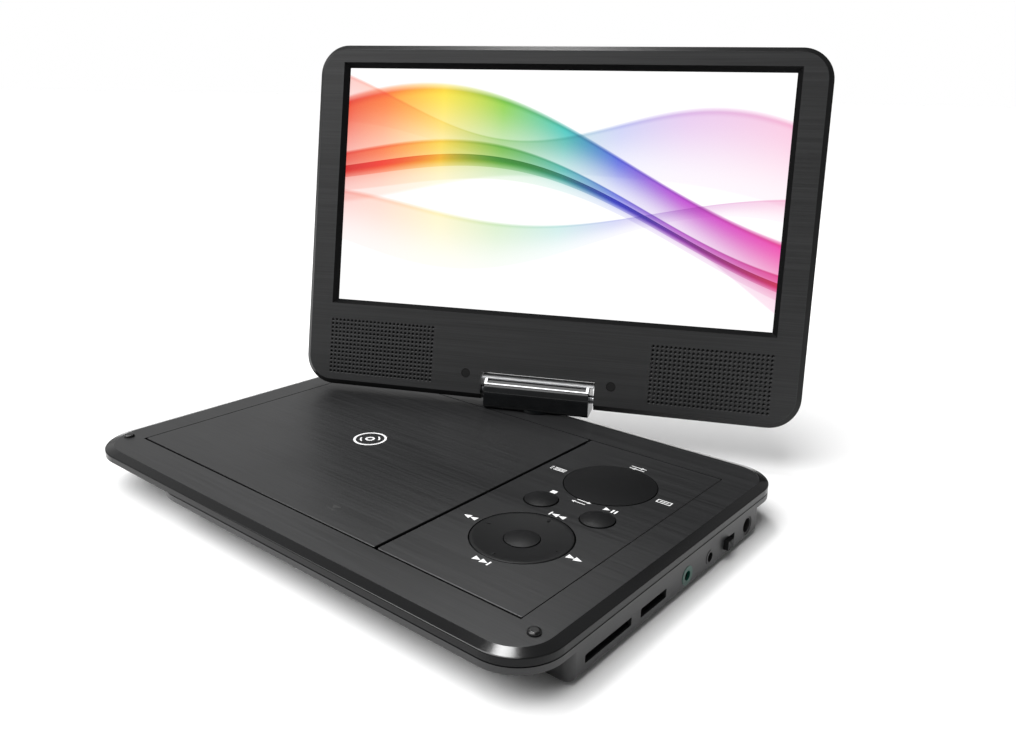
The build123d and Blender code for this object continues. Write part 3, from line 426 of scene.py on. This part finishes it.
def lit_screen(name):
    """The display, showing coloured ribbons, behind a satin polariser."""
    low, high = local_box("lcd_panel", LID)
    made = Material(name, grey(0.05), 0.3, LID, specular_ior_level=0.3, emission_strength=1.0)
    x, _, z = made.axes()
    across = (x - low.x) / (high.x - low.x)
    up = (z - low.z) / (high.z - low.z)
    picture = (1.0, 1.0, 1.0)
    hue = made.ramp(across, SPECTRUM)
    for middle, slope, wave, count, phase, half, swell, strength, layers in RIBBONS:
        swing = (across * (tau * count) + tau * phase).sine()
        centre = across * slope + swing * wave + middle
        width = (across * (tau * 0.8) + tau * (phase + 0.2)).sine() * (half * swell) + half
        place = (up - centre) / width
        inside = place.step(-1.0, -0.9) * place.step(1.0, 0.9)
        fold = place.step(-1.0, 1.0)
        veil = (inside * (fold * 0.75 + 0.25) * strength).clamped()
        for _ in range(layers):
            picture = made.mix(veil, picture, hue, "MULTIPLY")
        edge = place.step(0.78, 0.96) * place.step(1.06, 0.98)
        picture = made.mix(edge * (0.7 * strength), picture, hue, "MULTIPLY")
    # painted light: the polariser's colour is a little lighter towards the top
    made.color(made.mix(up.step(-0.5, 1.5), grey(0.03), grey(0.04)))
    made.link(picture, made.shader.inputs["Emission Color"])
    return made.rough(made.noise((2500, 2500, 2500), 1.0), 0.24, 0.34)


library = {
    "deck": brushed_plastic("deck_plastic", None, 0.007, 0.021, 2, [deck_top], deck_top - 1.15 * MM, 0.1),
    "lid": brushed_plastic("lid_plastic", LID, 0.008, 0.018, 1, LID_FACES, max(LID_FACES) + MM, 0.28),
    "shell": grained_plastic("shell_plastic", grey(0.012, COOL), 0.4),
    "key": grained_plastic("key_plastic", grey(0.007, COOL), 0.38, 0.02 * MM, specular=0.2),
    "black": grained_plastic("moulded_black", grey(0.007), 0.5),
    "plug": grained_plastic("plug_plastic", grey(0.003), 0.55, specular=0.25),
    "grey": grained_plastic("moulded_grey", grey(0.09, COOL), 0.5),
    "white": grained_plastic("moulded_white", (0.62, 0.61, 0.57), 0.42),
    "hinge": gloss_plastic("hinge_gloss", grey(0.003, BLUE), 0.08),
    "green": gloss_plastic("ring_green", (0.003, 0.055, 0.038), 0.35),
    "dark_ring": gloss_plastic("ring_dark", grey(0.004), 0.35),
    "plating": satin_plating("hinge_chrome"),
    "steel": metal("zinc_steel", (0.55, 0.56, 0.58), 0.3),
    "black_steel": metal("blackened_steel", (0.045, 0.045, 0.05), 0.35),
    # the backlight tray is near black: black paint, and also a painted dark reflection, because the deck
    # mirrors the tray where the screen is hidden from reflections
    "tray_paint_and_dark_reflection": grained_plastic("backlight_paint_and_dark_reflection", grey(0.006), 0.6, specular=0.2),
    "gold": metal("gold_contacts", (0.83, 0.62, 0.28), 0.22),
    "brass": metal("turned_brass", (0.7, 0.5, 0.22), 0.25),
    "speaker": grained_plastic("speaker_paint", grey(0.02), 0.55),
    "rubber": rubber("foot_rubber", 0.012, 0.62),
    "bumper": rubber("bumper_rubber", 0.002, 0.26),
    "silicone": silicone("key_silicone"),
    "board": circuit_board("solder_mask"),
    "lid_board": circuit_board("solder_mask_lid", LID),
    "battery": shrink_wrap("battery_wrap"),
    "lens": coated_lens("pickup_lens_glass"),
    "foam": foam("speaker_foam"),
    "screen": lit_screen("lit_display"),
    "ink": printed_ink("white_ink", 0.85),
    "faint_ink": printed_ink("grey_ink", 0.02),
    "floor": studio_floor("studio_floor"),
}

FINISHES = {
    "deck": ["base_top_deck", "disc_door", "control_panel"],
    "lid": ["lid_front_bezel", "lid_back_cover"],
    "shell": ["base_bottom_shell"],
    "key": ["ring_pad", "ok_key", "dome_pad", "stop_key", "play_key", "power_switch_knob"],
    "plug": ["screw_plugs"],
    "black": [
        "disc_well_tray", "spindle_hub", "lens_actuator", "headphone_jack", "av_jack", "dc_jack",
        "power_switch", "card_socket", "short_slot_socket",
    ],
    "grey": ["pickup_sled"],
    "white": ["touch_latch", "hub_claws", "lead_screw"],
    "hinge": ["swivel_collar", "hinge_barrel"],
    "plating": ["hinge_trim"],
    "green": ["headphone_ring"],
    "dark_ring": ["av_ring"],
    "steel": [
        "door_hinge_pins", "drive_chassis", "chassis_screws", "spindle_motor", "guide_rods", "sled_motor",
        "hinge_pins", "swivel_washer", "swivel_nut", "swivel_plate", "lid_brackets",
    ],
    "black_steel": ["casing_screws", "lid_screws"],
    # near black partly as a painted dark reflection in the deck, in place of the screen
    "tray_paint_and_dark_reflection": ["lcd_backlight"],
    "brass": ["dc_pin"],
    "speaker": ["speakers"],
    "rubber": ["rubber_feet", "chassis_dampers", "hub_pad"],
    "bumper": ["deck_bumpers"],
    "silicone": ["key_membrane"],
    "board": ["key_board", "main_board"],
    "lid_board": ["lid_board"],
    "battery": ["battery_pack"],
    "lens": ["pickup_lens"],
    "foam": ["speaker_gaskets"],
    "screen": ["lcd_panel"],
}


def paint(obj, name):
    """Gives every slot of an object one material."""
    material = library[name].material
    if not obj.material_slots:
        obj.data.materials.append(material)
    for slot in obj.material_slots:
        slot.link = "OBJECT"
        slot.material = material


for finish, painted in FINISHES.items():
    for node in painted:
        paint(nodes[node], finish)

# the lit picture shows, but doesn't light the deck under it
nodes["lcd_panel"].visible_diffuse = False
nodes["lcd_panel"].visible_glossy = False


def ease_edges(node):
    """Rounds a CAD node's hard edges a little."""
    bevel = nodes[node].modifiers.new("eased", "BEVEL")
    bevel.width = 0.12 * MM
    bevel.segments = 2
    bevel.limit_method = "ANGLE"
    bevel.angle_limit = radians(40)


# ================= pieces made here =================


def add_object(name, data):
    """A new object in the scene."""
    made = bpy.data.objects.new(name, data)
    bpy.context.scene.collection.objects.link(made)
    return made


def new_piece(name, mesh_maker, finish, body, matrix=None):
    """A piece from a function that fills a bmesh, riding on a CAD body."""
    mesh = bpy.data.meshes.new(name)
    filled = bmesh.new()
    mesh_maker(filled)
    bmesh.ops.remove_doubles(filled, verts=filled.verts, dist=1e-7)
    bmesh.ops.recalc_face_normals(filled, faces=filled.faces)
    if matrix is not None:
        filled.transform(matrix)
    filled.to_mesh(mesh)
    filled.free()
    piece = add_object(name, mesh)
    piece.data.materials.append(library[finish].material)
    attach(piece, body)
    return piece


def prism(mesh, outline, z0, z1):
    """An upright solid from a flat outline of (x, y) points."""
    lower = [mesh.verts.new((x, y, z0)) for x, y in outline]
    upper = [mesh.verts.new((x, y, z1)) for x, y in outline]
    mesh.faces.new(lower)
    mesh.faces.new(upper)
    for index in range(len(outline)):
        after = (index + 1) % len(outline)
        mesh.faces.new((lower[index], lower[after], upper[after], upper[index]))


def ring_prism(mesh, x, y, inner, outer, z0, z1, sides, start=0.0, sweep=tau):
    """A flat ring or an arc of one, from an angle over a sweep in radians."""
    closed = sweep > tau - 0.001
    steps = sides if closed else sides + 1
    turns = [start + sweep * index / sides for index in range(steps)]
    rows = []
    for turn in turns:
        across, along = cos(turn), sin(turn)
        corners = ((inner, z0), (outer, z0), (outer, z1), (inner, z1))
        rows.append([mesh.verts.new((x + r * across, y + r * along, z)) for r, z in corners])
    for index in range(steps if closed else steps - 1):
        here, there = rows[index], rows[(index + 1) % steps]
        for corner in range(4):
            after = (corner + 1) % 4
            mesh.faces.new((here[corner], there[corner], there[after], here[after]))
    if not closed:
        mesh.faces.new(rows[0])
        mesh.faces.new(rows[-1])


# the speaker plates: holes in each, then a hole's radius and facets, and the radius and depth of its dish
GRILLE_COLUMNS, GRILLE_ROWS = 27, 14
GRILLE_HOLE, HOLE_SIDES = 0.42 * MM, 16
GRILLE_RIM, GRILLE_DISH = 0.76 * MM, 0.2 * MM


def hole_cell(mesh, x0, x1, z0, z1, y0, y1):
    """One cell of a perforated plate: a rectangle with a dished round hole, front, back and bore."""
    cx, cz = (x0 + x1) / 2, (z0 + z1) / 2
    half_x, half_z = (x1 - x0) / 2, (z1 - z0) / 2
    rows = []
    for index in range(HOLE_SIDES):
        turn = tau * index / HOLE_SIDES
        across, up = cos(turn), sin(turn)
        reach = 1.0 / max(abs(across), abs(up))
        edge = (cx + half_x * across * reach, cz + half_z * up * reach)
        dish = (cx + GRILLE_RIM * across, cz + GRILLE_RIM * up)
        rim = (cx + GRILLE_HOLE * across, cz + GRILLE_HOLE * up)
        corners = ((edge, y0), (dish, y0), (rim, y0 + GRILLE_DISH), (rim, y1), (edge, y1))
        rows.append([mesh.verts.new((point[0], y, point[1])) for point, y in corners])
    for index in range(HOLE_SIDES):
        here, there = rows[index], rows[(index + 1) % HOLE_SIDES]
        for corner in range(4):
            mesh.faces.new((here[corner], there[corner], there[corner + 1], here[corner + 1]))


def grille_maker(mesh):
    """Both perforated speaker plates, in the lid's axes."""
    for side in (-1, 1):
        low, high = local_box("speaker_grilles", LID, lambda point: point.x * side > 0)
        step_x, step_z = (high.x - low.x) / GRILLE_COLUMNS, (high.z - low.z) / GRILLE_ROWS
        for column in range(GRILLE_COLUMNS):
            for row in range(GRILLE_ROWS):
                x, z = low.x + column * step_x, low.z + row * step_z
                hole_cell(mesh, x, x + step_x, z, z + step_z, low.y, high.y)


grilles = new_piece("perforated_grilles", grille_maker, "lid", "lid", LID)
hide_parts("speaker_grilles")

# ---- printed symbols, in place of lettering ----
INK = 0.03 * MM
ARROW_HALF = 1.25  # half the height of an arrow, in millimetres like all the outlines
ring_low, ring_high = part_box("ring_pad")
dome_low, dome_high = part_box("dome_pad")
stop_low, stop_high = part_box("stop_key")
play_low, play_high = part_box("play_key")
door_low, door_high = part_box("disc_door")
pad_x, ring_y = (ring_low[0] + ring_high[0]) / 2, (ring_low[1] + ring_high[1]) / 2
dome_y = (dome_low[1] + dome_high[1]) / 2
stop_x, small_y = (stop_low[0] + stop_high[0]) / 2, (stop_low[1] + stop_high[1]) / 2
play_x = (play_low[0] + play_high[0]) / 2


def mark(mesh, outline, x, y):
    """A flat shape in millimetres, printed on the deck round a point."""
    prism(mesh, [(x + px * MM, y + py * MM) for px, py in outline], deck_top, deck_top + INK)


def box_mark(mesh, x, y, x0, x1, y0, y1):
    mark(mesh, [(x0, y0), (x1, y0), (x1, y1), (x0, y1)], x, y)


def bar_mark(mesh, x, y, x0, x1):
    """An upright bar as high as an arrow."""
    box_mark(mesh, x, y, x0, x1, -ARROW_HALF, ARROW_HALF)


def arrow_mark(mesh, x, y, start, width):
    """A triangle from its upright side, pointing right, or left where width is negative."""
    mark(mesh, [(start, -ARROW_HALF), (start + width, 0.0), (start, ARROW_HALF)], x, y)


def transport_maker(mesh):
    """Symbols of the playing keys."""
    # stop, and play or pause
    x, y = stop_x - 0.2 * MM, small_y + 8.2 * MM
    box_mark(mesh, x, y, -1.2, 1.2, -1.1, 1.1)
    x, y = play_x - 0.5 * MM, small_y + 9.2 * MM
    arrow_mark(mesh, x, y, -2.6, 2.4)
    bar_mark(mesh, x, y, 0.6, 1.3)
    bar_mark(mesh, x, y, 2.0, 2.7)
    # previous above the ring, next below it
    x, y = pad_x, ring_y + 20.5 * MM
    bar_mark(mesh, x, y, -3.4, -2.8)
    arrow_mark(mesh, x, y, 0.2, -2.8)
    arrow_mark(mesh, x, y, 3.2, -2.8)
    x, y = pad_x, ring_y - 21.0 * MM
    arrow_mark(mesh, x, y, -3.2, 2.8)
    arrow_mark(mesh, x, y, -0.2, 2.8)
    bar_mark(mesh, x, y, 2.8, 3.4)
    # rewind on its left, fast forward on its right
    x, y = pad_x - 23.0 * MM, ring_y - 0.6 * MM
    arrow_mark(mesh, x, y, 0.1, -2.9)
    arrow_mark(mesh, x, y, 3.0, -2.9)
    x, y = pad_x + 22.2 * MM, ring_y - 0.4 * MM
    arrow_mark(mesh, x, y, -3.0, 2.9)
    arrow_mark(mesh, x, y, -0.1, 2.9)


def menu_maker(mesh):
    """Plain pictograms round the domed pad."""
    # a list on the left
    x, y = pad_x - 24.0 * MM, dome_y - 1.2 * MM
    for row in (-1.0, 0.0, 1.0):
        box_mark(mesh, x, y, -1.8, 3.6, row - 0.22, row + 0.22)
        box_mark(mesh, x, y, -3.4, -2.6, row - 0.25, row + 0.25)
    # two sliders above
    x, y = pad_x, dome_y + 20.4 * MM
    for row, knob in ((-0.9, -1.2), (0.9, 1.4)):
        box_mark(mesh, x, y, -3.4, 3.4, row - 0.2, row + 0.2)
        box_mark(mesh, x, y, knob - 0.5, knob + 0.5, row - 0.7, row + 0.7)
    # a page with a line on the right
    x, y = pad_x + 23.4 * MM, dome_y + 0.4 * MM
    for y0, y1 in ((-1.3, -0.95), (0.95, 1.3)):
        box_mark(mesh, x, y, -3.0, 3.0, y0, y1)
    for x0, x1 in ((-3.0, -2.6), (2.6, 3.0)):
        box_mark(mesh, x, y, x0, x1, -0.95, 0.95)
    box_mark(mesh, x, y, -1.8, 1.8, -0.2, 0.2)
    # two arrows, one each way, below
    x, y = pad_x, dome_y - 19.6 * MM
    for side in (-1, 1):
        row = side * 1.05
        box_mark(mesh, x, y, -2.4, 2.4, row - 0.2, row + 0.2)
        mark(mesh, [(side * 2.2, row - 0.8), (side * 3.6, row), (side * 2.2, row + 0.8)], x, y)


def disc_mark_maker(mesh):
    """A plain disc pictogram in the middle of the door."""
    x, y = (door_low[0] + door_high[0]) / 2, (door_low[1] + door_high[1]) / 2
    z0, z1 = deck_top, deck_top + INK
    ring_prism(mesh, x, y, 6.2 * MM, 7.2 * MM, z0, z1, 64)
    ring_prism(mesh, x, y, 1.2 * MM, 2.1 * MM, z0, z1, 32)
    for start in (20, 200):
        ring_prism(mesh, x, y, 3.7 * MM, 4.4 * MM, z0, z1, 24, radians(start), radians(55))


def push_mark_maker(mesh):
    """Where to press to open the door."""
    x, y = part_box("touch_latch")[0][0] + 6.0 * MM, door_low[1] + 10.6 * MM
    mark(mesh, [(-2.4, 0.9), (2.4, 0.9), (0.0, -1.3)], x, y)
    box_mark(mesh, x, y, -2.4, 2.4, -2.3, -1.8)


for name, maker, finish, body in (
    ("transport_symbols", transport_maker, "ink", "base"),
    ("menu_symbols", menu_maker, "ink", "base"),
    ("disc_symbol", disc_mark_maker, "ink", "door"),
    ("press_symbol", push_mark_maker, "faint_ink", "door"),
):
    new_piece(name, maker, finish, body)

# ---- contacts inside the slots ----


def contact_maker(node, count):
    """A row of sprung contacts under a socket's tongue."""
    low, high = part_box(node)
    x0, x1 = low[0] + 2.0 * MM, high[0] - 3.4 * MM
    first, last = low[1] + 3.4 * MM, high[1] - 3.4 * MM
    half_width = 0.4 * MM
    top = (low[2] + high[2]) / 2 + 0.1 * MM

    def maker(mesh):
        for index in range(count):
            y = first + (last - first) * index / (count - 1)
            y0, y1 = y - half_width, y + half_width
            prism(mesh, [(x0, y0), (x1, y0), (x1, y1), (x0, y1)], top - 0.5 * MM, top - 0.3 * MM)

    return maker


for node, count in (("card_socket", 9), ("short_slot_socket", 4)):
    new_piece(node.replace("socket", "contacts"), contact_maker(node, count), "gold", "base")

for node in ("hinge_barrel", "swivel_collar", "power_switch_knob", "disc_door", "control_panel"):
    ease_edges(node)

# ================= studio =================

FLOOR_HALF = 40.0
# the strength of the sky as a light: its pale side, its dark corner and overhead
SKY_PALE, SKY_CORNER, SKY_TOP = 0.35, 0.22, 0.12
# the camera stands here, looks back at the object at these angles, and has a wide lens on a 36 mm frame
CAMERA_PLACE = Vector((0.2366, -0.2373, 0.1612))
CAMERA_TURN = radians(39.09)
CAMERA_RISE = radians(17.26)
CAMERA_ROLL = radians(1.016)
CAMERA_LENS, CAMERA_FRAME = 31.0, 36.0
# each soft light: name, place, what it faces, its width and height, and its power
AREA_LIGHTS = (
    ("left_fill", (-0.8, -0.9, 0.8), (0.0, 0.05, 0.1), (0.8, 0.5), 3.0),
    ("left_sheen", (-1.1, 0.7, 0.55), (-0.05, 0.0, 0.02), (1.2, 0.5), 0.5),
    ("deck_sheen", (-0.57, 0.69, 1.10), (0.11, -0.07, 0.017), (0.2, 0.2), 2.2),
    ("corner_glint", (-0.31, 0.26, 1.08), (0.108, -0.075, 0.017), (0.2, 0.2), 3.4),
)


def floor():
    mesh = bpy.data.meshes.new("floor")
    side = FLOOR_HALF
    corners = [(-side, -side, 0), (side, -side, 0), (side, side, 0), (-side, side, 0)]
    mesh.from_pydata(corners, [], [(0, 1, 2, 3)])
    made = add_object("floor", mesh)
    made.data.materials.append(library["floor"].material)
    made.location.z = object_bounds()[0][2]
    made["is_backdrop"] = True


def facing(direction):
    """The rotation of a light that shines along a direction."""
    return direction.to_track_quat("-Z", "Y").to_euler()


def area_light(name, place, target, size, power):
    light = bpy.data.lights.new(name, "AREA")
    light.shape = "RECTANGLE"
    light.size, light.size_y = size
    light.energy = power
    made = add_object(name, light)
    made.location = place
    made.rotation_euler = facing(Vector(target) - Vector(place))


def sun_light(name, direction, strength, angle):
    light = bpy.data.lights.new(name, "SUN")
    light.energy = strength
    light.angle = radians(angle)
    add_object(name, light).rotation_euler = facing(Vector(direction))


def sky():
    """White to the camera. As a light it is a pale studio with a dark corner behind and to the right."""
    world = bpy.data.worlds.new("studio")
    bpy.context.scene.world = world
    world.use_nodes = True
    tree = world.node_tree
    background = tree.nodes["Background"]
    background.inputs["Color"].default_value = (1, 1, 1, 1)
    way = tree.nodes.new("ShaderNodeTexCoord")
    split = tree.nodes.new("ShaderNodeSeparateXYZ")
    tree.links.new(way.outputs["Generated"], split.inputs[0])
    side = Shade(tree, split.outputs["X"]) + Shade(tree, split.outputs["Y"]) * 0.8
    corner = side.step(-0.25, 0.25) * (SKY_CORNER - SKY_PALE) + SKY_PALE
    rise = Shade(tree, split.outputs["Z"]).step(0.6, 0.9)
    dim = corner + rise * (corner * -1.0 + SKY_TOP)
    seen = Shade(tree, tree.nodes.new("ShaderNodeLightPath").outputs["Is Camera Ray"])
    strength = seen + (seen * -1.0 + 1.0) * dim
    tree.links.new(strength.socket, background.inputs["Strength"])


def camera():
    back = Vector((
        sin(CAMERA_TURN) * cos(CAMERA_RISE),
        -cos(CAMERA_TURN) * cos(CAMERA_RISE),
        sin(CAMERA_RISE),
    ))
    right = (-back).cross(Vector((0, 0, 1))).normalized()
    up = right.cross(-back)
    tilted_right = right * cos(CAMERA_ROLL) + up * sin(CAMERA_ROLL)
    tilted_up = up * cos(CAMERA_ROLL) - right * sin(CAMERA_ROLL)
    data = bpy.data.cameras.new("camera")
    data.lens = CAMERA_LENS
    data.sensor_width = CAMERA_FRAME
    data.clip_start = 0.01
    made = add_object("camera", data)
    turn = Matrix((tilted_right, tilted_up, back)).transposed().to_4x4()
    made.matrix_world = Matrix.Translation(CAMERA_PLACE) @ turn
    bpy.context.scene.camera = made


floor()
sky()
camera()
sun_light("key_sun", (0.25, 0.5, -1.0), 3.8, 60)
for name, place, target, size, power in AREA_LIGHTS:
    area_light(name, place, target, size, power)
bpy.context.scene.view_settings.view_transform = "Standard"
